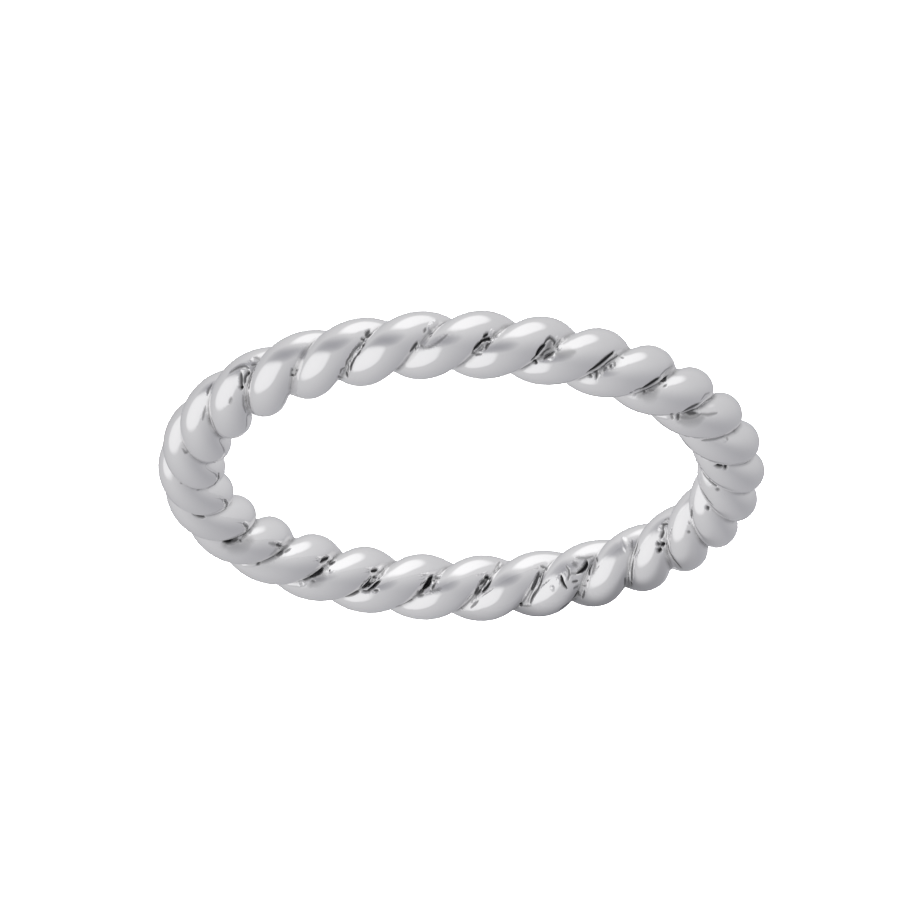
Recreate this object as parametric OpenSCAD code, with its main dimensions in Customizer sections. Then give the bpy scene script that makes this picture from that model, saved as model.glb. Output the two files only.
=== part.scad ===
// Rope twist ring. Two silver wires are twisted round each other, bent into a closed
// circle and soldered, so the metal is one solid. The ring lies on its side: the finger's
// axis is +Z and the origin is the middle of the underside. Sizes are in millimetres.

/* [Ring] */
// Clear width of the finger hole between the innermost crests
finger_d = 17.3; // [14:0.1:21]
// Lobes round the ring, two for each full turn of the twist
lobes = 28; // [22:2:36]
// Direction of the twist
twist = "left"; // [left, right]

/* [Strands] */
// Thickness of a strand, measured out from the rope's middle
strand_t = 1.26; // [1:0.02:1.6]
// Width of a strand, measured across its own run
strand_w = 1.44; // [1.2:0.02:1.8]
// How far each strand is pressed past the rope's middle
strand_press = 0.02; // [0:0.01:0.1]

/* [Solder] */
// Height of the solder in the bottom of the groove between the strands
solder_fill = 0.1; // [0.02:0.01:0.2]
// How sharply the solder's surface turns into the strands
solder_edge = 12; // [8:1:20]

/* [Facets] */
// Flats round a quarter of the rope
quarter_flats = 6; // [4:1:6]
// Sections along half a lobe
half_lobe_steps = 4; // [2:1:4]

/* [Hidden] */

// A strand's middle, the rope's radius over the crests and the rope's own middle line
strand_offset = strand_t / 2 - strand_press;
rope_r = strand_offset + strand_t / 2;
ring_r = finger_d / 2 + rope_r;

// Run along the rope for one full turn, and the slant of a strand to the rope
lay_length = 2 * PI * ring_r / (lobes / 2);
lay = atan(2 * PI * strand_offset / lay_length);

sides = 4 * quarter_flats;
sections = 2 * half_lobe_steps * lobes;
left = twist == "left";

// A point t degrees round a strand's oval: out from the rope's middle, across, along
function oval(t) = [
  strand_offset + strand_t / 2 * cos(t),
  strand_w / 2 * sin(t) * cos(lay),
  strand_w / 2 * sin(t) * sin(lay)
];

// The same point followed along the twist into the plane across the rope: angle, radius
function in_plane(t) = let (p = oval(t))
  [atan2(p[1], p[0]) + 360 * p[2] / lay_length, norm([p[0], p[1]])];

// Radius of a strand's face at an angle from its crest, found by halving the interval
function strand_r(angle, low = 0, high = 180, halvings = 30) =
  let (mid = (low + high) / 2, p = in_plane(mid))
  halvings == 0 ? p[1]
  : p[0] < angle ? strand_r(angle, mid, high, halvings - 1)
  : strand_r(angle, low, mid, halvings - 1);

// The groove's bottom lies 90 degrees from the crests, and solder fills it to this radius
core_r = strand_r(90) + solder_fill;

// Radius of the rope's face, strand and solder together
function rope_face_r(angle) =
  pow(pow(strand_r(angle), solder_edge) + pow(core_r, solder_edge), 1 / solder_edge);

// Face radii from a crest to a groove, and the same read for any corner of the section
quarter = [for (i = [0:quarter_flats]) rope_face_r(90 * i / quarter_flats)];
function corner_r(j) = quarter[quarter_flats - abs(j % (2 * quarter_flats) - quarter_flats)];

// A corner of a section, turned with the twist and set round the ring on the floor
function ring_point(i, j) = let (
    round = 360 * i / sections,
    roll = 360 * j / sides + (left ? 1 : -1) * round * lobes / 2,
    out = ring_r + corner_r(j) * cos(roll)
  ) [out * cos(round), out * sin(round), corner_r(0) + corner_r(j) * sin(roll)];

function index(i, j) = (i % sections) * sides + j % sides;

// Two triangles between neighbouring sections, split along the strands
function flat_pair(i, j) = let (
    a = index(i, j), b = index(i + 1, j), c = index(i + 1, j + 1), d = index(i, j + 1)
  ) left ? [[a, d, b], [b, d, c]] : [[a, c, b], [a, d, c]];

module rope_band() {
  color([0.83, 0.83, 0.85])
    polyhedron(
      points = [for (i = [0:sections - 1], j = [0:sides - 1]) ring_point(i, j)],
      faces = [for (i = [0:sections - 1], j = [0:sides - 1]) each flat_pair(i, j)],
      convexity = 6
    );
}

rope_band();
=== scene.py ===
import math

import bmesh
import bpy
import numpy as np
from mathutils import Matrix, Vector
from mathutils.bvhtree import BVHTree
from mathutils.kdtree import KDTree


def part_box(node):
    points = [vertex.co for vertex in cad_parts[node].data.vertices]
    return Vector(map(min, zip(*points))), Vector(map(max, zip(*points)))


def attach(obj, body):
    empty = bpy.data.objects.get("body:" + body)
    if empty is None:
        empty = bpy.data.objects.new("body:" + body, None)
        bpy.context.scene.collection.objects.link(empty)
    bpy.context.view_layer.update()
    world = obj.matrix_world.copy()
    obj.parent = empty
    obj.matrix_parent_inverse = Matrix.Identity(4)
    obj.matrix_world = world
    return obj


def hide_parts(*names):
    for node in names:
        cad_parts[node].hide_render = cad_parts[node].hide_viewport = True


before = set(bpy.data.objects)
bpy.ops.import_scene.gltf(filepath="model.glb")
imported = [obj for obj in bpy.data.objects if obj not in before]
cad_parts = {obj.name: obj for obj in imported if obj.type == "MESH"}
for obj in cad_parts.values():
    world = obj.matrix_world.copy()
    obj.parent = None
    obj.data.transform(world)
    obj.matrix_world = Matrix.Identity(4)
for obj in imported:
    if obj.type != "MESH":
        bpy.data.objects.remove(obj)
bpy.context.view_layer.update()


# The camera stands above the floor and is turned over, so the near side of the ring is at
# the top of the picture. A long lens gives the photograph's almost flat perspective.
ring_low, ring_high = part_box("rope_band")
ROPE_R = (ring_high.z - ring_low.z) / 2
RING_R = ring_high.x - ROPE_R
SHORT_SIDE_PX = 900
PX_PER_MM = 27.26
CAMERA_DISTANCE = 0.4558
CAMERA_ELEVATION = math.radians(27.0)
CAMERA_AZIMUTH = math.radians(-0.28)
CAMERA_ROLL = math.radians(-0.56)
RING_PX = (461.3, 468.7)

turn_over = Matrix.Rotation(CAMERA_AZIMUTH, 3, "Z")
picture_right = turn_over @ Vector((-1, 0, 0))
to_camera = turn_over @ Vector((0, -math.cos(CAMERA_ELEVATION), math.sin(CAMERA_ELEVATION)))
picture_up = to_camera.cross(picture_right)
right = picture_right * math.cos(CAMERA_ROLL) - picture_up * math.sin(CAMERA_ROLL)
up = picture_right * math.sin(CAMERA_ROLL) + picture_up * math.cos(CAMERA_ROLL)

camera_data = bpy.data.cameras.new("camera")
camera_data.sensor_width = 36
camera_data.lens = PX_PER_MM * CAMERA_DISTANCE * 1000 * camera_data.sensor_width / SHORT_SIDE_PX
camera_data.clip_start, camera_data.clip_end = 0.01, 10
camera = bpy.data.objects.new("camera", camera_data)
bpy.context.scene.collection.objects.link(camera)
middle = Vector((0, 0, ROPE_R))
px = 0.001 / PX_PER_MM
aside = right * -(RING_PX[0] - SHORT_SIDE_PX / 2) * px + up * (RING_PX[1] - SHORT_SIDE_PX / 2) * px
camera.matrix_world = Matrix.Translation(middle + aside + to_camera * CAMERA_DISTANCE) @ Matrix(
    (right, up, to_camera)
).transposed().to_4x4()
bpy.context.scene.camera = camera


def line_of_sight(x, y):
    """The way in which a pixel of the photograph is seen from the camera."""
    focal = PX_PER_MM * CAMERA_DISTANCE * 1000
    return (right * (x - SHORT_SIDE_PX / 2) - up * (y - SHORT_SIDE_PX / 2) - to_camera * focal).normalized()


# The rope band: two round silver wires twisted left-handed round each other, closed into a circle and
# soldered, so the metal is one piece. The wires are polished, the creases between them are not: they keep
# slits, pits and small beads of solder, and they are painted dark, which is painted shade of the creases.
LOBES = 28
STRAND_PRESS = 0.00002
STRAND_T = ROPE_R + STRAND_PRESS
STRAND_W = 0.00144
STRAND_OFFSET = ROPE_R - STRAND_T / 2
CREASE_ROUNDING = math.radians(10)
STEPS_PER_LOBE = 24
FLATS = 60
RAW_MARGIN = 0.00012
TAPER = 0.6
# width of the painted shade, with tarnish, along the middle of each crease
CREASE_SHADE_WIDTH = math.radians(7)
BARE_CREASE_WIDTH = math.radians(15)
BARE_FROM_MARK, FULLY_BARE_FROM_MARK = 0.0014, 0.0020
FINER_NET_REACHES = (0.00030, 0.00018)
INSET = 0.0000005

LAY_LENGTH = 2 * math.pi * RING_R / (LOBES / 2)
LAY = math.atan(2 * math.pi * STRAND_OFFSET / LAY_LENGTH)
TURNS = LOBES // 2


def strand_radius(angle):
    """Radius of a strand's face at angles from its crest, in the plane across the rope."""
    low, high = np.zeros_like(angle), np.full_like(angle, math.pi)
    for _ in range(40):
        turn = (low + high) / 2
        out = STRAND_OFFSET + STRAND_T / 2 * np.cos(turn)
        across = STRAND_W / 2 * np.sin(turn) * math.cos(LAY)
        along = STRAND_W / 2 * np.sin(turn) * math.sin(LAY)
        reached = np.arctan2(across, out) + 2 * math.pi * along / LAY_LENGTH
        low, high = np.where(reached < angle, turn, low), np.where(reached < angle, high, turn)
    return np.hypot(out, across)


def rope_radius(angle):
    """Radius of the rope's face at angles from a crest, with the creases rounded by solder."""
    quarter = math.pi / 2
    from_crease = angle % math.pi - quarter
    eased = np.hypot(from_crease, CREASE_ROUNDING) * quarter / math.hypot(quarter, CREASE_ROUNDING)
    return strand_radius(quarter - eased) - INSET


def rope_place(ring_angle, roll, radius):
    """Places on the rope by angle round the ring, angle round the rope and radius of the rope."""
    out = RING_R + radius * np.cos(roll)
    return np.stack([out * np.cos(ring_angle), out * np.sin(ring_angle), ROPE_R + radius * np.sin(roll)], -1)


def rope_angles(places):
    """The angle round the ring and the angle from a crest of places on the rope."""
    ring_angle = np.arctan2(places[:, 1], places[:, 0])
    out = np.hypot(places[:, 0], places[:, 1]) - RING_R
    return ring_angle, np.arctan2(places[:, 2] - ROPE_R, out) - ring_angle * TURNS


def on_rope(places):
    """The places moved straight from the middle of the rope onto its smooth face."""
    ring_angle, from_crest = rope_angles(places)
    return rope_place(ring_angle, from_crest + ring_angle * TURNS, rope_radius(from_crest))


steps = LOBES * STEPS_PER_LOBE
step, flat = np.meshgrid(np.arange(steps), np.arange(FLATS), indexing="ij")
ring_angle = step * 2 * math.pi / steps
from_crest = flat * 2 * math.pi / FLATS
net = rope_place(ring_angle, from_crest + ring_angle * TURNS, rope_radius(from_crest)).reshape(-1, 3)
step_on, flat_on = (step + 1) % steps, (flat + 1) % FLATS
corners = [(step, flat), (step_on, flat), (step_on, flat_on), (step, flat_on)]
quads = np.stack([row * FLATS + column for row, column in corners], -1).reshape(-1, 4)
smooth_rope = BVHTree.FromPolygons(net.tolist(), quads.tolist())

# What the creases hold: how dark it is painted, and how deep it is sunk in millimetres. The darkness is
# painted shade of the creases, partly over real sunk slits, pits, cracks and seams; the two kinds that
# neither sink nor raise paint shade alone: soft shadows by the pits, darker valleys and dark lines where one
# lobe hides the next.
MARK_KINDS = {
    "pit": (0.99, 0.10),
    "slit": (0.98, 0.08),
    "crack": (0.84, 0.04),
    "seam": (0.66, 0.02),
    "painted_shade": (0.50, 0.0),
    "soft_painted_shade": (0.30, 0.0),
    "bead": (0.0, -0.035),
    "swell": (0.0, -0.03),
}
# How much wider each kind is laid than it was measured, since its edges fade.
MARK_SPREAD = {
    "pit": 1.2,
    "slit": 1.35,
    "crack": 1.3,
    "seam": 1.25,
    "painted_shade": 1.4,
    "soft_painted_shade": 1.5,
    "bead": 1.35,
    "swell": 1.0,
}
# The share of a mark's half width that is full, and where it ends.
MARK_EDGES = {"bead": (0.45, 1.2), "painted_shade": (0.1, 1.3), "soft_painted_shade": (0.0, 1.4), "swell": (0.0, 1.2)}
DARK_EDGES = (0.3, 1.3)
# Kind, width in pixels, and the pixels of the photograph that it runs through, crease by crease. Some rows
# trace dark lines where one lobe hides the next: painted shade.
MARKS = (
    ("crack", 4.0, ((368.5, 330.5), (365.5, 335.5))),
    ("crack", 3.0, ((361.5, 338.5), (363, 340))),
    ("slit", 3.4, ((364, 343.5), (362, 347))),
    ("crack", 3.4, ((360.5, 350.5), (357.5, 354.5))),
    ("crack", 2.6, ((357.5, 354.5), (354, 359), (351.5, 365), (350, 370.5))),
    ("seam", 2.6, ((360, 343), (356, 348), (353, 352), (350, 357), (347, 361), (346, 366))),
    ("seam", 2.6, ((345, 368), (341.5, 369.5), (340, 374))),
    ("crack", 3.2, ((346.5, 372.5), (347, 377))),
    ("seam", 3.0, ((338, 376), (341.5, 378.5))),
    ("bead", 3.4, ((365, 339.5),)),
    ("bead", 3.0, ((358, 348), (355.5, 352), (353, 356))),
    ("bead", 3.2, ((350, 361.5), (349.5, 366))),
    ("bead", 3.4, ((344, 377),)),
    ("crack", 3.8, ((417, 342.5), (413.5, 347.5), (410.5, 351.5))),
    # painted reflection: a dark hook mirrored in the saddle between two lobes
    ("painted_shade", 3.0, ((421, 345), (424, 348), (429, 347.5), (436, 344), (441, 340), (447, 335))),
    ("seam", 3.0, ((425.5, 328.5), (424, 332))),
    ("bead", 6.0, ((432.5, 324), (431, 331))),
    ("bead", 4.0, ((418, 345), (417, 349))),
    ("slit", 3.4, ((487.5, 333), (483.5, 336.5))),
    ("slit", 4.0, ((489.5, 338), (485, 339.2), (480.5, 342))),
    ("slit", 4.0, ((480.5, 342), (477, 346), (474, 349.5))),
    ("seam", 2.8, ((474, 349), (472.5, 353), (476, 354.2), (481.5, 354))),
    ("crack", 2.8, ((489.5, 343), (486.5, 345.5), (485.5, 349))),
    ("painted_shade", 6.0, ((484, 345), (479, 349))),
    ("bead", 3.0, ((486.5, 341.6),)),
    ("bead", 3.2, ((491, 340.6),)),
    ("bead", 3.0, ((484, 347),)),
    ("bead", 3.0, ((479, 351.6), (482, 351.4))),
    ("bead", 3.0, ((492.5, 330), (490.5, 333.5))),
    ("painted_shade", 2.4, ((495.5, 332), (492.5, 336))),
    ("bead", 2.6, ((500, 333), (496.5, 337))),
    ("crack", 3.2, ((554, 345), (555, 342), (552.5, 339), (550, 337.3), (547, 339.5), (544.5, 343))),
    ("pit", 4.4, ((545, 344), (541.5, 347.5), (539, 351), (536.5, 355.5))),
    ("crack", 3.2, ((536.5, 355), (533.5, 358.5), (531.5, 360))),
    ("slit", 3.2, ((534, 360.5), (536.5, 363))),
    ("painted_shade", 8.0, ((551, 341), (549, 346), (547, 351), (542, 357))),
    ("painted_shade", 6.0, ((554, 348), (549, 353), (543, 358))),
    ("soft_painted_shade", 8.0, ((557, 354), (566, 353), (574, 352))),
    ("crack", 3.2, ((553.5, 352), (550, 354.5), (547, 356), (544, 359.5))),
    ("bead", 3.4, ((548, 352.3), (545.5, 354))),
    ("bead", 5.0, ((549.5, 357.4), (553, 356.6))),
    ("bead", 4.4, ((559.6, 345), (558.8, 349.5))),
    ("bead", 2.6, ((557.5, 337), (556.5, 340))),
    ("painted_shade", 2.4, ((560.5, 339.5), (558.5, 343))),
    ("bead", 2.6, ((564, 338.5), (562, 342))),
    ("slit", 5.4, ((613.5, 352), (607, 358), (600.5, 363.8), (594, 368.8), (588, 372.2))),
    ("soft_painted_shade", 9.0, ((618, 358), (608, 366), (600, 371))),
    ("seam", 3.0, ((618, 356), (612, 359.5), (607, 363), (602.5, 367.5))),
    ("seam", 2.2, ((614.3, 362), (615, 366.5))),
    ("seam", 2.2, ((609.7, 364), (610.2, 368))),
    ("seam", 3.0, ((605, 366), (604, 371))),
    ("crack", 3.0, ((597.3, 370), (596.5, 378.5))),
    ("crack", 3.6, ((589.5, 375), (591.5, 376.5))),
    ("seam", 2.6, ((621.5, 357), (623, 358))),
    ("bead", 2.8, ((612, 365), (612.4, 367.5))),
    ("bead", 2.8, ((607.3, 368.6),)),
    ("bead", 3.0, ((600.5, 374),)),
    ("bead", 2.6, ((615.5, 353.5),)),
    ("slit", 6.4, ((659, 378.6), (654, 382), (648.5, 385.8), (642, 389))),
    ("seam", 2.2, ((641, 388.3), (635, 390.3))),
    ("slit", 4.2, ((667, 377), (661.5, 381))),
    ("seam", 3.2, ((661, 380.5), (659.5, 385))),
    ("painted_shade", 6.0, ((657, 386), (650, 390.5), (643, 394))),
    ("soft_painted_shade", 13.0, ((656, 390), (649, 393), (641, 395))),
    ("crack", 3.4, ((644.5, 391), (644.3, 393))),
    ("seam", 3.0, ((649, 391), (653.5, 390.3))),
    ("soft_painted_shade", 8.0, ((664, 376), (669, 371), (673, 366))),
    ("seam", 2.8, ((631.3, 392.5),)),
    ("seam", 2.4, ((664, 387), (666.5, 385))),
    ("bead", 3.0, ((634, 394),)),
    # painted shade: faint contour lines at the top end of the crease
    ("painted_shade", 2.2, ((660, 375.5), (665, 370.5), (672, 366))),
    ("seam", 2.8, ((712, 398), (706, 401), (701, 405), (697, 409.5))),
    ("crack", 6.0, ((698, 404.4), (690.5, 408.2), (683.5, 411.8))),
    ("crack", 4.6, ((696, 413.6), (690, 414), (686.5, 413))),
    ("painted_shade", 6.0, ((693, 410.5), (683, 414))),
    ("crack", 3.6, ((678.5, 413), (678, 420))),
    ("painted_shade", 8.0, ((699, 415), (690, 416.5), (681, 417.5))),
    ("soft_painted_shade", 12.0, ((702, 417), (690, 420), (680, 421))),
    ("painted_shade", 3.0, ((699, 414), (708, 414.6), (717, 413))),
    ("seam", 3.0, ((671.5, 413.5), (672.5, 419))),
    # painted shade: faint contour lines at the top end of the crease
    ("painted_shade", 2.0, ((701, 400), (705, 394.5), (709.5, 392.5))),
    ("bead", 3.4, ((699, 412.2),)),
    ("bead", 3.4, ((674.8, 414), (675.2, 418))),
    ("seam", 2.4, ((736, 428), (730, 433), (725, 435.5))),
    ("painted_shade", 2.2, ((726.5, 436.5), (727.5, 440))),
    ("bead", 2.6, ((724.6, 437), (725, 441))),
    # painted shade along the edge where one lobe hides the next
    ("painted_shade", 3.2, ((724, 436.5), (715, 438.8), (702, 440.5))),
    ("pit", 4.4, ((715.5, 466.4), (722.5, 467))),
    ("pit", 4.4, ((725.3, 465.8), (725.3, 469.5))),
    # painted shade along the edge where one lobe hides the next
    ("crack", 3.4, ((703, 473.5), (709, 479.5), (716, 486))),
    ("seam", 3.8, ((717.5, 489.6),)),
    ("seam", 2.8, ((701, 489), (707, 499), (712, 504.5))),
    ("crack", 4.0, ((707, 507), (708, 509.5))),
    ("seam", 3.2, ((688.7, 532),)),
    ("painted_shade", 2.6, ((689.5, 523),)),
    ("seam", 3.0, ((692, 510), (691, 517))),
    ("pit", 5.6, ((663, 543.6), (660.2, 545.2))),
    ("slit", 5.0, ((659.6, 549), (658.2, 551.6))),
    ("crack", 3.4, ((657.5, 542.5), (658, 545))),
    ("crack", 3.2, ((663.4, 530.5), (661, 537.5))),
    ("crack", 3.0, ((662, 524), (667.5, 523.7))),
    ("painted_shade", 2.6, ((665, 519.5), (669.5, 519))),
    ("seam", 2.8, ((663, 524.5), (663, 529.5))),
    ("bead", 3.0, ((664, 540), (663, 542.5))),
    ("bead", 3.0, ((660, 528),)),
    ("bead", 3.0, ((667, 521.5),)),
    # painted shade along the edge where one lobe hides the next
    ("seam", 4.0, ((667, 541), (669, 551), (674, 560), (681, 568))),
    ("pit", 5.2, ((586, 560.8), (585.4, 564), (583.4, 567.5), (580.4, 570.6), (576.8, 573))),
    ("painted_shade", 3.0, ((593, 556.5), (585, 558.3), (576, 557.5))),
    ("slit", 2.5, ((560.8, 575.5), (561.8, 580.5), (563.8, 585.3), (566.8, 588.8))),
    ("seam", 2.4, ((566, 566), (568.8, 570), (569.3, 575), (568, 580))),
    ("painted_shade", 2.2, ((568.5, 573), (577, 573.8))),
    ("crack", 2.8, ((572.5, 582), (577.5, 581))),
    ("seam", 2.4, ((574, 588.5), (578.5, 586))),
    ("painted_shade", 5.0, ((573.5, 563), (576, 566))),
    ("painted_shade", 4.4, ((595.5, 562), (594.5, 567), (592.5, 573))),
    ("seam", 3.0, ((596, 558), (597.5, 561))),
    ("crack", 3.6, ((578, 591.5), (574.5, 597.5), (570.5, 601.5))),
    # painted shade along the edge where one lobe hides the next
    ("crack", 3.2, ((570.5, 601.5), (565.5, 605.8), (560, 610))),
    ("seam", 2.6, ((584.5, 591), (582, 598.5))),
    ("bead", 4.0, ((558.5, 578), (559, 582))),
    ("bead", 3.4, ((565, 573), (566, 579))),
    ("bead", 4.0, ((552, 588),)),
    ("bead", 3.4, ((571, 577),)),
    ("crack", 2.8, ((638, 541), (636.2, 548), (633.5, 556))),
    ("painted_shade", 2.6, ((632, 541), (632.6, 551))),
    ("crack", 3.2, ((633.3, 559), (631.6, 570), (631.4, 581))),
    ("crack", 3.0, ((631.5, 582.5), (631.5, 585))),
    ("painted_shade", 6.0, ((632, 584), (628, 586), (624, 588))),
    ("seam", 3.0, ((625.3, 578), (625, 585), (621, 592))),
    ("bead", 3.0, ((629.5, 572), (629.3, 580))),
    ("pit", 4.4, ((432.3, 575.5), (429.3, 579), (427.4, 583.5), (423.5, 588.5))),
    ("crack", 3.2, ((423, 589), (419.5, 593.5))),
    ("seam", 3.0, ((417, 595.5), (423.5, 595))),
    ("seam", 2.8, ((434, 578.3), (440, 578.7))),
    ("crack", 3.0, ((434.3, 584.5), (432, 589))),
    ("painted_shade", 3.4, ((430, 591.3), (441, 589))),
    # painted shade along the edge where one lobe hides the next
    ("seam", 3.0, ((413, 599.5), (404, 603.7), (396, 607))),
    ("bead", 3.0, ((431.5, 582), (431, 585))),
    ("bead", 3.0, ((437, 583),)),
    ("bead", 3.0, ((436, 575.8), (441, 576))),
    ("slit", 4.0, ((487.5, 576), (485, 577.5))),
    ("crack", 4.4, ((485, 579.5), (480, 584.5))),
    ("crack", 4.2, ((478.5, 587), (476, 594.5))),
    ("slit", 3.0, ((491, 580.5), (487, 587), (482.5, 592))),
    ("seam", 2.6, ((478, 601), (471, 608))),
    ("seam", 2.6, ((462, 609),)),
    ("painted_shade", 2.6, ((493, 573), (499.5, 562))),
    ("bead", 2.8, ((488, 580.5), (485, 585), (482.5, 588.5))),
    ("bead", 2.8, ((498, 567), (495, 572))),
    ("bead", 2.8, ((503, 563), (501, 566))),
    ("bead", 3.0, ((476, 598), (472.5, 602))),
    ("crack", 3.0, ((539, 572), (535.5, 581.5), (531.5, 590))),
    ("crack", 3.0, ((543, 573), (541, 582), (538, 589), (533, 596.5), (530.3, 603.5))),
    ("bead", 2.6, ((539, 578), (536.5, 586), (532, 594), (528.5, 601))),
    ("seam", 3.2, ((541, 566), (545, 568))),
    ("pit", 4.2, ((520.3, 603.5), (519.8, 606))),
    ("seam", 2.8, ((519, 606), (514, 609), (511, 612.5))),
    ("painted_shade", 2.4, ((523, 606), (531, 605.7))),
    ("pit", 4.0, ((247.8, 371.5), (247.2, 373.5))),
    ("slit", 4.0, ((241, 386), (241, 388.5))),
    ("crack", 3.2, ((240.7, 372.5), (241.2, 380), (241, 386))),
    ("crack", 3.0, ((246.5, 373.5), (244.6, 378), (244.4, 383))),
    ("seam", 3.2, ((230, 372.5), (234.5, 369.3), (239, 367), (244, 366), (248.5, 367.8))),
    ("seam", 3.2, ((251.5, 365), (256.5, 364))),
    ("painted_shade", 3.0, ((254, 357.5), (259.5, 359))),
    ("painted_shade", 3.0, ((231.2, 397.5), (229.6, 403))),
    ("seam", 2.6, ((212, 384), (208.2, 389.5), (207.6, 394))),
    ("painted_shade", 2.4, ((243, 395), (243.5, 405), (246, 413))),
    ("painted_shade", 3.0, ((248.5, 393), (249.5, 404), (251, 409))),
    ("seam", 3.2, ((251, 410.5), (253.5, 413.5))),
    # painted shade along the edge where one lobe hides the next
    ("painted_shade", 2.8, ((211, 417), (215, 428), (219.5, 436.5))),
    ("painted_shade", 2.4, ((205.6, 406), (202.5, 420))),
    ("bead", 3.0, ((242, 370), (246, 369))),
    ("bead", 3.4, ((251, 360.5),)),
    ("pit", 3.8, ((195.5, 516), (200, 516.8), (204.5, 517.7))),
    ("painted_shade", 2.2, ((191.5, 513), (196, 516))),
    ("painted_shade", 2.8, ((181.5, 483),)),
    ("painted_shade", 2.6, ((197, 490), (200.5, 489))),
    ("seam", 2.8, ((218.5, 473), (218.7, 479), (214, 485), (207, 488.7))),
    ("seam", 3.0, ((224.3, 499.5), (227.2, 504), (226, 508), (221, 511.7))),
    ("pit", 7.4, ((224.5, 542.8), (229, 542.4), (232.5, 541.6))),
    ("crack", 5.6, ((232, 541.6), (237.5, 539.8))),
    # painted shadow: the soft shade below the pit
    ("painted_shade", 6.0, ((225, 544), (232, 543.5), (240, 541))),
    ("soft_painted_shade", 16.0, ((226, 545), (236, 544), (250, 540))),
    ("painted_shade", 4.0, ((238, 541), (245, 536.5), (248.5, 530))),
    ("crack", 3.0, ((240.3, 540.5), (241, 542))),
    ("seam", 2.6, ((243, 523.5), (247.5, 527.3), (246.5, 533), (242.5, 537.5))),
    ("painted_shade", 2.6, ((251.8, 529), (249, 533.5))),
    ("painted_shade", 3.6, ((269, 543), (276, 544.5), (282, 546.5))),
    ("crack", 3.0, ((276.5, 544.9), (281.5, 546.2))),
    ("crack", 3.4, ((283, 551.5), (279.5, 554), (276, 555.5))),
    ("painted_shade", 5.0, ((284, 551), (278, 555.5), (270, 559), (260, 563))),
    ("soft_painted_shade", 12.0, ((286, 546), (280, 550), (272, 554))),
    ("soft_painted_shade", 4.0, ((283, 545), (290, 540))),
    ("seam", 3.0, ((290.5, 548.5), (285, 552.5))),
    ("crack", 3.6, ((260, 562), (257.3, 565))),
    ("slit", 5.2, ((328.5, 557.5), (325, 559), (321, 561.7))),
    ("crack", 3.2, ((334.5, 561.3), (330, 564.5))),
    ("slit", 4.6, ((323.3, 567.8), (318, 572.4), (311, 577))),
    ("crack", 3.6, ((311, 577), (304, 580.3))),
    ("soft_painted_shade", 10.0, ((324, 573), (317, 580), (311, 585))),
    ("seam", 3.4, ((312, 581), (314.5, 581.5))),
    ("painted_shade", 4.0, ((328, 566.5), (324.5, 570))),
    ("bead", 3.0, ((333, 557.5), (330, 560))),
    ("bead", 3.0, ((304.7, 583.2),)),
    ("bead", 3.0, ((300, 584.5),)),
    ("bead", 3.0, ((331, 571),)),
    ("slit", 3.6, ((371.5, 570.8), (377, 569.8))),
    ("crack", 3.0, ((373, 577), (375.5, 577.5))),
    ("slit", 3.6, ((371, 578), (368.2, 583), (362, 588.3))),
    ("slit", 3.2, ((380, 581), (376, 584.3), (373, 587.7), (369, 590))),
    ("crack", 2.4, ((363, 591.2), (370, 591.2))),
    ("crack", 3.0, ((374.5, 591), (378, 590.3))),
    # painted shade along the edge where one lobe hides the next
    ("crack", 2.6, ((359, 591.5), (352, 595), (345.5, 597))),
    ("bead", 2.6, ((376, 581.5), (372, 584.5), (369, 587.5))),
    ("bead", 2.6, ((383, 568.5), (379.5, 571.5))),
    ("painted_shade", 2.6, ((383.5, 571), (382, 576))),
    ("swell", 9.0, ((429, 332), (433, 326), (436, 321))),
    ("swell", 8.0, ((622.5, 538), (625, 544), (626.5, 551))),
    ("swell", 5.0, ((243, 565), (254, 565.5))),
    ("swell", 5.0, ((289, 584.5), (304, 585))),
    ("swell", 6.0, ((657, 416), (668, 418))),
)


def seen_path(pixels):
    """The places on the smooth rope that the photograph shows along a path of pixels."""
    corners = np.array(pixels, float)
    stretches = [corners[:1]]
    for start, end in zip(corners, corners[1:]):
        count = int(np.ceil(np.linalg.norm(end - start) * 2))
        stretches.append(start + (end - start) * np.arange(1, count + 1)[:, None] / count)
    eye = camera.matrix_world.translation
    hits = [smooth_rope.ray_cast(eye, line_of_sight(x, y))[0] for x, y in np.concatenate(stretches)]
    return np.array([hit for hit in hits if hit is not None])


marks = []
for kind, width, pixels in MARKS:
    path = seen_path(pixels)
    if len(path):
        marks.append((kind, width * MARK_SPREAD[kind] / PX_PER_MM / 1000, path))

# The net is twice as fine near the marks, and twice again at them.
mark_places = np.concatenate([path for kind, width, path in marks])
nearest_mark = KDTree(len(mark_places))
for number, place in enumerate(mark_places):
    nearest_mark.insert(place, number)
nearest_mark.balance()
rope_mesh = bpy.data.meshes.new("polished_rope")
rope_mesh.from_pydata(net.tolist(), [], quads.tolist())
work = bmesh.new()
work.from_mesh(rope_mesh)
for reach in FINER_NET_REACHES:
    near = [face for face in work.faces if nearest_mark.find(face.calc_center_median())[2] < reach]
    edges = list({edge for face in near for edge in face.edges})
    bmesh.ops.subdivide_edges(work, edges=edges, cuts=1, use_grid_fill=True)
work.to_mesh(rope_mesh)
work.free()
places = np.empty(len(rope_mesh.vertices) * 3)
rope_mesh.vertices.foreach_get("co", places)
places = on_rope(places.reshape(-1, 3))
ring_angle, from_crest = rope_angles(places)

sunk = np.zeros(len(places))
dark = np.zeros(len(places))
raw = np.zeros(len(places))


def eased_fall(distance, full, none):
    """One within a distance, none beyond a greater one, and an eased fall between."""
    t = np.clip((none - distance) / (none - full), 0, 1)
    return t * t * (3 - 2 * t)


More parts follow.
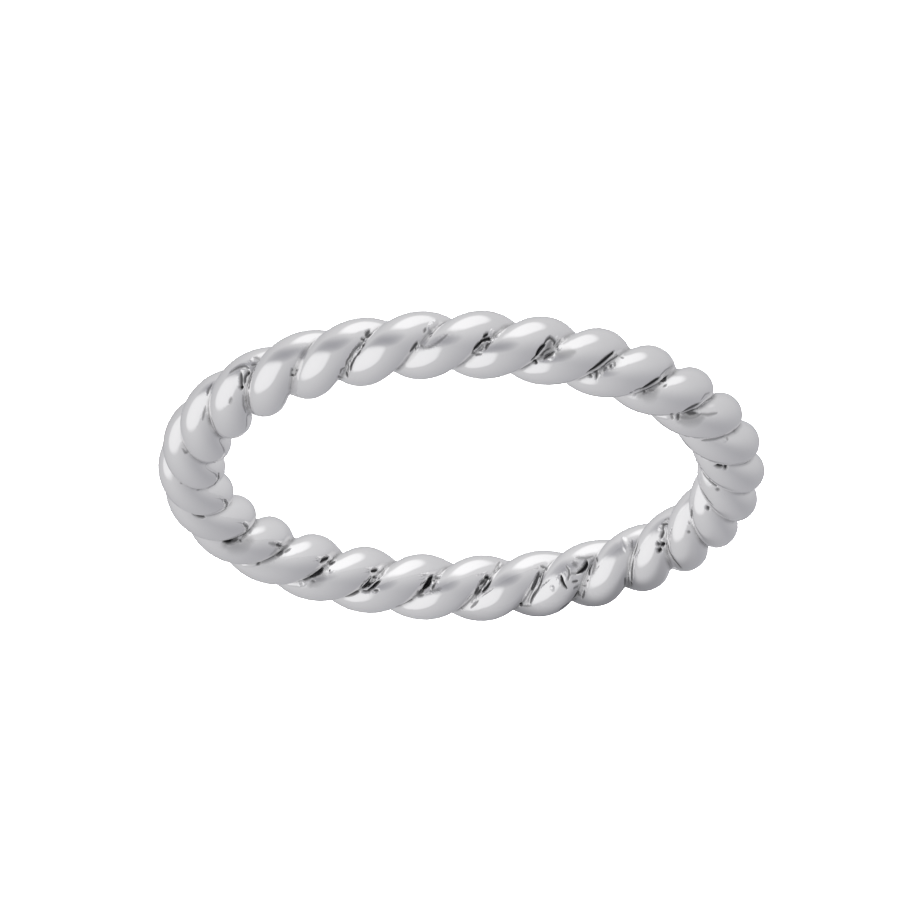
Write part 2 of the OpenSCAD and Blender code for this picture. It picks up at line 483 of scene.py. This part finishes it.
for kind, width, path in marks:
    shade, depth = MARK_KINDS[kind]
    reach = width + RAW_MARGIN
    near = np.flatnonzero(np.all((places > path.min(0) - reach) & (places < path.max(0) + reach), axis=1))
    apart = np.linalg.norm(places[near][:, None] - path[None], axis=2)
    along = (apart.argmin(1) + 0.5) / len(path) * 2 - 1
    half = width / 2 * (1 - TAPER * np.abs(along) ** 3)
    distance = apart.min(1)
    share = eased_fall(distance / half, *MARK_EDGES.get(kind, DARK_EDGES))
    # each mark's painted darkness: painted shade in the creases, partly over real sunk slits and pits
    dark[near] = np.maximum(dark[near], share * shade)
    sunk[near] += share * depth / 1000
    if kind not in ("swell", "soft_painted_shade"):
        raw[near] = np.maximum(raw[near], eased_fall(distance, half, half + RAW_MARGIN))

from_crease = from_crest % math.pi - math.pi / 2
# the middle of each crease is painted darker: painted shade of the crease, with tarnish
crease = np.exp(-((from_crease / CREASE_SHADE_WIDTH) ** 2))
middle_line = rope_place(ring_angle, from_crest * 0, from_crest * 0)
inward = middle_line - places
inward /= np.linalg.norm(inward, axis=1)[:, None]
worked = places + inward * sunk[:, None]
from_mark = np.array([nearest_mark.find(place)[2] for place in places])
bare = 1 - eased_fall(from_mark, BARE_FROM_MARK, FULLY_BARE_FROM_MARK)
bare_crease = np.exp(-((from_crease / BARE_CREASE_WIDTH) ** 2)) * bare
rope_mesh.vertices.foreach_set("co", worked.ravel())
rope_mesh.shade_smooth()
for name, values in (("dark", dark), ("raw", raw), ("crease", crease), ("bare_crease", bare_crease)):
    rope_mesh.attributes.new(name, "FLOAT", "POINT").data.foreach_set("value", values.astype(np.float32))
rope = bpy.data.objects.new("polished_rope", rope_mesh)
bpy.context.scene.collection.objects.link(rope)


def wired(tree, kind, inputs=(), **settings):
    """A new node of a tree with its inputs filled or linked in order."""
    made = tree.nodes.new(kind)
    for name, value in settings.items():
        setattr(made, name, value)
    for number, value in enumerate(inputs):
        if isinstance(value, bpy.types.NodeSocket):
            tree.links.new(value, made.inputs[number])
        elif value is not None:
            made.inputs[number].default_value = value
    return made


def sum_of(tree, operation, *values):
    """The result of one step of arithmetic on values or sockets."""
    return wired(tree, "ShaderNodeMath", values, operation=operation).outputs[0]


BRIGHT_SILVER = (0.932, 0.927, 0.929, 1)
SMUDGED_SILVER = (0.918, 0.913, 0.915, 1)
# the black that the marks and creases are painted towards: painted shade, with tarnish in the creases
SHADE_AND_TARNISH_BLACK = (0.01, 0.01, 0.012, 1)
CREASE_SHADE_SHARE = 0.85
POLISHED_ROUGHNESS, SMUDGE_ROUGHNESS, DARK_ROUGHNESS = 0.035, 0.05, 0.4
POLISH_WAVE_HEIGHT = 0.00002
HAIR_HEIGHT = 0.0000002
RIPPLE_HEIGHT = 0.00003
RIPPLE_STRENGTH = 0.5
FARTHEST_OWN_REFLECTION = 0.012

silver = bpy.data.materials.new("polished_silver")
silver.use_nodes = True
metal = silver.node_tree
shader = metal.nodes["Principled BSDF"]
shader.inputs["Metallic"].default_value = 1
dark_mask = wired(metal, "ShaderNodeAttribute", attribute_name="dark").outputs["Fac"]
raw_mask = wired(metal, "ShaderNodeAttribute", attribute_name="raw").outputs["Fac"]
crease_mask = wired(metal, "ShaderNodeAttribute", attribute_name="crease").outputs["Fac"]
bare_mask = wired(metal, "ShaderNodeAttribute", attribute_name="bare_crease").outputs["Fac"]
place_on_rope = wired(metal, "ShaderNodeTexCoord").outputs["Object"]

# creases well away from the marks above have slits and pits of their own, bumped in and painted dark:
# painted shade of the pits
blotches = wired(metal, "ShaderNodeTexNoise", (place_on_rope, None, 1700.0, 2.0, 0.6)).outputs[0]
spots = wired(metal, "ShaderNodeMapRange", (blotches, 0.53, 0.60, 0.0, 0.95)).outputs[0]
bare_middle = wired(metal, "ShaderNodeMapRange", (bare_mask, 0.25, 0.6, 0.0, 1.0)).outputs[0]
random_marks = sum_of(metal, "MULTIPLY", spots, bare_middle)
# painted shade and tarnish in the creases, darker in patches
patches = wired(metal, "ShaderNodeTexNoise", (place_on_rope, None, 2500.0, 2.0, 0.6)).outputs[0]
crease_shade_and_tarnish = sum_of(metal, "MULTIPLY", sum_of(metal, "MULTIPLY", crease_mask, patches), CREASE_SHADE_SHARE)
darkest = sum_of(metal, "MAXIMUM", sum_of(metal, "MAXIMUM", dark_mask, crease_shade_and_tarnish), random_marks)

# silver polished by hand: nearly even, with faint smudges and hair scratches
smudges = wired(metal, "ShaderNodeTexNoise", (place_on_rope, None, 420.0, 3.0, 0.55)).outputs[0]
silver_white = wired(metal, "ShaderNodeMix", data_type="RGBA")
silver_white.inputs["A"].default_value = BRIGHT_SILVER
silver_white.inputs["B"].default_value = SMUDGED_SILVER
metal.links.new(smudges, silver_white.inputs["Factor"])
# the silver is mixed towards black by the painted shade of the marks and creases, with tarnish
silver_colour = wired(metal, "ShaderNodeMix", data_type="RGBA")
metal.links.new(silver_white.outputs["Result"], silver_colour.inputs["A"])
silver_colour.inputs["B"].default_value = SHADE_AND_TARNISH_BLACK
metal.links.new(darkest, silver_colour.inputs["Factor"])
metal.links.new(silver_colour.outputs["Result"], shader.inputs["Base Color"])
wear = sum_of(metal, "MULTIPLY_ADD", smudges, SMUDGE_ROUGHNESS, POLISHED_ROUGHNESS)
roughness = sum_of(metal, "MULTIPLY_ADD", darkest, DARK_ROUGHNESS, wear)
metal.links.new(roughness, shader.inputs["Roughness"])
waves = wired(metal, "ShaderNodeTexNoise", (place_on_rope, None, 800.0, 1.0, 0.5)).outputs[0]
hand_polish = wired(metal, "ShaderNodeBump")
hand_polish.inputs["Distance"].default_value = POLISH_WAVE_HEIGHT
metal.links.new(waves, hand_polish.inputs["Height"])
long_way = wired(metal, "ShaderNodeMapping", (place_on_rope,), vector_type="POINT")
long_way.inputs["Scale"].default_value = (9000.0, 9000.0, 60000.0)
hairs = wired(metal, "ShaderNodeTexNoise", (long_way.outputs[0], None, 1.0, 1.0, 0.5)).outputs[0]
hair_scratches = wired(metal, "ShaderNodeBump")
hair_scratches.inputs["Distance"].default_value = HAIR_HEIGHT
metal.links.new(hairs, hair_scratches.inputs["Height"])
metal.links.new(hand_polish.outputs[0], hair_scratches.inputs["Normal"])
ripples = wired(metal, "ShaderNodeTexNoise", (place_on_rope, None, 9000.0, 2.0, 0.6)).outputs[0]
bump = wired(metal, "ShaderNodeBump")
metal.links.new(hair_scratches.outputs[0], bump.inputs["Normal"])
bump.inputs["Distance"].default_value = RIPPLE_HEIGHT
metal.links.new(sum_of(metal, "SUBTRACT", ripples, random_marks), bump.inputs["Height"])
rough_places = sum_of(metal, "MAXIMUM", raw_mask, bare_mask)
metal.links.new(sum_of(metal, "MULTIPLY", rough_places, RIPPLE_STRENGTH), bump.inputs["Strength"])
metal.links.new(bump.outputs[0], shader.inputs["Normal"])

# the photograph shows no trace of the ring's other side in the metal, so it isn't reflected
ray = wired(metal, "ShaderNodeLightPath")
from_afar = sum_of(metal, "GREATER_THAN", ray.outputs["Ray Length"], FARTHEST_OWN_REFLECTION)
unseen = sum_of(metal, "MULTIPLY", ray.outputs["Is Glossy Ray"], from_afar)
left_out = wired(metal, "ShaderNodeBsdfTransparent").outputs[0]
faces = wired(metal, "ShaderNodeMixShader", (unseen, shader.outputs[0], left_out)).outputs[0]
metal.links.new(faces, metal.nodes["Material Output"].inputs["Surface"])
rope_mesh.materials.append(silver)
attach(rope, "root")
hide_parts("rope_band")


# The floor: a plain matt white sheet under the ring, lit past white as in the photograph. The
# ring sees the studio through it, so that it mirrors no sheet edge.
PAPER_WHITE = 0.9
PAPER_ROUGHNESS = 0.9
# the painted glow of the paper inside the ring, seen only in the metal
PAPER_GLOW_OUTER, PAPER_GLOW_INNER = 0.0094, 0.0082
PAPER_GLOW_LIGHT = 0.045

bpy.ops.mesh.primitive_plane_add(size=6)
floor = bpy.context.object
floor.name = "floor"
paper = bpy.data.materials.new("white_paper")
paper.use_nodes = True
sheet = paper.node_tree
place = wired(sheet, "ShaderNodeTexCoord").outputs["Object"]
paper_shader = sheet.nodes["Principled BSDF"]
paper_shader.inputs["Base Color"].default_value = (PAPER_WHITE, PAPER_WHITE, PAPER_WHITE, 1)
paper_shader.inputs["Roughness"].default_value = PAPER_ROUGHNESS
paper_shader.inputs["Specular IOR Level"].default_value = 0
# the ring sees the studio through the sheet, with a painted reflection: a faint glow where the paper lies
# inside the ring, seen by the metal alone
clear_paper = wired(sheet, "ShaderNodeBsdfTransparent").outputs[0]
from_middle = wired(sheet, "ShaderNodeVectorMath", (place,), operation="LENGTH").outputs["Value"]
inside_mask = wired(sheet, "ShaderNodeMapRange", (from_middle, PAPER_GLOW_OUTER, PAPER_GLOW_INNER, 0.0, 1.0)).outputs[0]
paper_glow_light = sum_of(sheet, "MULTIPLY", inside_mask, PAPER_GLOW_LIGHT)
paper_glow = wired(sheet, "ShaderNodeEmission", ((1, 1, 1, 1), paper_glow_light)).outputs[0]
for_ring = wired(sheet, "ShaderNodeAddShader", (clear_paper, paper_glow)).outputs[0]
to_ring = wired(sheet, "ShaderNodeLightPath").outputs["Is Glossy Ray"]
paper_seen = paper_shader.outputs[0]
sheet_faces = wired(sheet, "ShaderNodeMixShader", (to_ring, paper_seen, for_ring)).outputs[0]
sheet.links.new(sheet_faces, sheet.nodes["Material Output"].inputs["Surface"])
floor.data.materials.append(paper)
floor.visible_shadow = False


# The shade card: a sheet edge on to the camera just behind the ring and hidden from it, seen only in the
# metal. It glows a dim grey where its mask is full and is clear elsewhere: a painted reflection of shade,
# darkening the lobes' lower rims as a shaded floor there would. It stands free and fades out at its rims.
CARD_ROW_PX = 621
CARD_FROM_PX, CARD_TO_PX = 405, 800
CARD_NEAR, CARD_FAR = 0.0010, 0.0150
CARD_STEPS = 40
EDGE_INSIDE, EDGE_OUTSIDE = 0.0013, -0.0004
CARD_OUT_FADE, CARD_OUT_END = 0.003, 0.005
CARD_LEFT_FULL_PX, CARD_RIGHT_FULL_PX = 545, 590
CARD_LEFT_END_PX, CARD_RIGHT_END_PX = 410, 790
CARD_FULL_DEPTH = 0.0055
SHADE_GLOW_GREY = (0.235, 0.235, 0.25, 1)


def eased(value, start, end):
    """An eased rise from zero at the start to one at the end."""
    t = np.clip((value - start) / (end - start), 0, 1)
    return t * t * (3 - 2 * t)


card_columns = np.linspace(CARD_FROM_PX, CARD_TO_PX, CARD_STEPS)
card_depths = np.linspace(CARD_NEAR, CARD_FAR, CARD_STEPS)
column, depth = np.meshgrid(card_columns, card_depths, indexing="ij")
card_places = []
for x, behind_ring in zip(column.ravel(), depth.ravel()):
    sight = line_of_sight(x, CARD_ROW_PX)
    reach = (CAMERA_DISTANCE + behind_ring) / -sight.dot(to_camera)
    card_places.append(camera.matrix_world.translation + sight * reach)
from_axis = np.hypot((column - RING_PX[0]) / PX_PER_MM / 1000, depth / math.cos(CAMERA_ELEVATION))
shade_share = eased(from_axis, RING_R - EDGE_INSIDE, RING_R - EDGE_OUTSIDE)
shade_share *= eased(from_axis, RING_R + CARD_OUT_END, RING_R + CARD_OUT_FADE)
shade_share *= eased(column, CARD_LEFT_END_PX, CARD_LEFT_FULL_PX)
shade_share *= eased(column, CARD_RIGHT_END_PX, CARD_RIGHT_FULL_PX)
shade_share *= eased(depth, CARD_NEAR, CARD_FULL_DEPTH)
row_a, row_b = np.meshgrid(np.arange(CARD_STEPS - 1), np.arange(CARD_STEPS - 1), indexing="ij")
first = (row_a * CARD_STEPS + row_b).ravel()
card_faces = np.stack([first, first + CARD_STEPS, first + CARD_STEPS + 1, first + 1], -1)
card_mesh = bpy.data.meshes.new("shade_card")
card_mesh.from_pydata(card_places, [], card_faces.tolist())
shade_layer = card_mesh.attributes.new("shade", "FLOAT", "POINT")
shade_layer.data.foreach_set("value", shade_share.ravel().astype(np.float32))
card = bpy.data.objects.new("shade_card", card_mesh)
bpy.context.scene.collection.objects.link(card)
shade_reflection_glow = bpy.data.materials.new("shade_reflection_glow")
shade_reflection_glow.use_nodes = True
shade_glow_nodes = shade_reflection_glow.node_tree
shade_mask = wired(shade_glow_nodes, "ShaderNodeAttribute", attribute_name="shade").outputs["Fac"]
open_air = wired(shade_glow_nodes, "ShaderNodeBsdfTransparent").outputs[0]
# a dim grey glow where the mask is full: the painted reflection of shade
dim_shade_glow = wired(shade_glow_nodes, "ShaderNodeEmission", (SHADE_GLOW_GREY, 1.0)).outputs[0]
shade_glow_faces = wired(shade_glow_nodes, "ShaderNodeMixShader", (shade_mask, open_air, dim_shade_glow)).outputs[0]
shade_glow_nodes.links.new(shade_glow_faces, shade_glow_nodes.nodes["Material Output"].inputs["Surface"])
card_mesh.materials.append(shade_reflection_glow)
card.visible_camera = card.visible_diffuse = card.visible_shadow = False


# The key light: a round soft panel on the camera's side, a metre from the ring. It is made of
# cloth over a frame and stands free. The metal doesn't mirror it, so it lights the floor alone.
KEY_SIZE = 0.4
KEY_WATTS = 150
KEY_DISTANCE = 1.0

key_data = bpy.data.lights.new("key_panel", "AREA")
key_data.shape = "DISK"
key_data.size = KEY_SIZE
key_data.energy = KEY_WATTS
key = bpy.data.objects.new("key_panel", key_data)
bpy.context.scene.collection.objects.link(key)
key_turn = Matrix((right, up, to_camera)).transposed().to_4x4()
key.matrix_world = Matrix.Translation(to_camera * KEY_DISTANCE) @ key_turn
key.visible_glossy = False
key.visible_camera = False


# The studio: a pale grey tent with two soft panels, one beside the ring and one before it, and
# a dark gap between them. Directions are seen from the ring, in degrees across and up the picture.
TENT_LIGHT = 0.502
LEAN_RIGHT, LEAN_UP, LEAN_NEAR = -0.141, -0.031, 0.056
GLOW_ACROSS, GLOW_RISE, GLOW_START, GLOW_LIGHT = 92.4, 53.6, -0.205, 0.252
BLUE_SHARE, BLUE_ADDED = 0.955, 0.0415
FLOOR_SHARE = 0.3
# across, rise and turn in degrees, half width and height as tangents, softness, light
DARK_GAP = (-36.8, 27.1, -20.4, 0.852, 0.271, 0.98, 0.252)
TOP_PANEL = (33.0, 76.1, 16.3, 0.554, 0.55, 0.28, 0.29)
SIDE_PANEL = (-63.7, -15.1, -21.2, 0.857, 0.626, 0.22, 0.240)

studio = bpy.data.worlds.new("studio")
bpy.context.scene.world = studio
studio.use_nodes = True
tent = studio.node_tree
tent.nodes.clear()
direction = wired(tent, "ShaderNodeTexCoord").outputs["Generated"]


def toward(across, rise):
    """A direction by its angle across and up the picture, from the line to the camera."""
    a, b = math.radians(across), math.radians(rise)
    return right * math.cos(b) * math.sin(a) + up * math.sin(b) + to_camera * math.cos(b) * math.cos(a)


def along(axis):
    """How far a direction from the ring points along an axis."""
    return wired(tent, "ShaderNodeVectorMath", (direction, axis), operation="DOT_PRODUCT").outputs["Value"]


def panel(across, rise, turn, half_w, half_h, soft, strength):
    """Light of a soft panel, with its place and turn in degrees and half sizes as tangents."""
    facing = toward(across, rise)
    level = up.cross(facing).normalized()
    upright = facing.cross(level)
    turn = math.radians(turn)
    side = level * math.cos(turn) + upright * math.sin(turn)
    top = upright * math.cos(turn) - level * math.sin(turn)
    ahead = along(facing)
    facing_share = wired(tent, "ShaderNodeMapRange", (ahead, 0.02, 0.12, 0.0, strength)).outputs[0]
    u = sum_of(tent, "DIVIDE", along(side), sum_of(tent, "MULTIPLY", ahead, half_w))
    v = sum_of(tent, "DIVIDE", along(top), sum_of(tent, "MULTIPLY", ahead, half_h))
    cubes = [sum_of(tent, "POWER", sum_of(tent, "ABSOLUTE", w), 3.0) for w in (u, v)]
    far = sum_of(tent, "POWER", sum_of(tent, "ADD", *cubes), 1 / 3)
    limits = (far, 1 + soft, 1 - soft, 0.0, facing_share)
    return wired(tent, "ShaderNodeMapRange", limits, interpolation_type="SMOOTHSTEP").outputs[0]


lean = right * LEAN_RIGHT + up * LEAN_UP + to_camera * LEAN_NEAR
light = sum_of(tent, "ADD", along(lean), TENT_LIGHT)
glow_ahead = along(toward(GLOW_ACROSS, GLOW_RISE))
glow_limits = (glow_ahead, GLOW_START, 1.0, 0.0, GLOW_LIGHT)
glow = wired(tent, "ShaderNodeMapRange", glow_limits, interpolation_type="SMOOTHSTEP").outputs[0]
light = sum_of(tent, "ADD", light, glow)
light = sum_of(tent, "SUBTRACT", light, panel(*DARK_GAP))
blue = sum_of(tent, "MULTIPLY_ADD", light, BLUE_SHARE, BLUE_ADDED)
panels = sum_of(tent, "ADD", panel(*TOP_PANEL), panel(*SIDE_PANEL))
light, blue = sum_of(tent, "ADD", light, panels), sum_of(tent, "ADD", blue, panels)
grey = wired(tent, "ShaderNodeCombineColor", (light, light, blue)).outputs[0]
tent_light = wired(tent, "ShaderNodeBackground", (grey, 1.0)).outputs[0]
dim_light = wired(tent, "ShaderNodeBackground", (grey, FLOOR_SHARE)).outputs[0]
seen = wired(tent, "ShaderNodeBackground", ((1, 1, 1, 1), 1.0)).outputs[0]
path = wired(tent, "ShaderNodeLightPath")
lit = wired(tent, "ShaderNodeMixShader", (path.outputs["Is Diffuse Ray"], tent_light, dim_light)).outputs[0]
both = wired(tent, "ShaderNodeMixShader", (path.outputs["Is Camera Ray"], lit, seen)).outputs[0]
wired(tent, "ShaderNodeOutputWorld", (both,))

bpy.context.scene.view_settings.view_transform = "Standard"
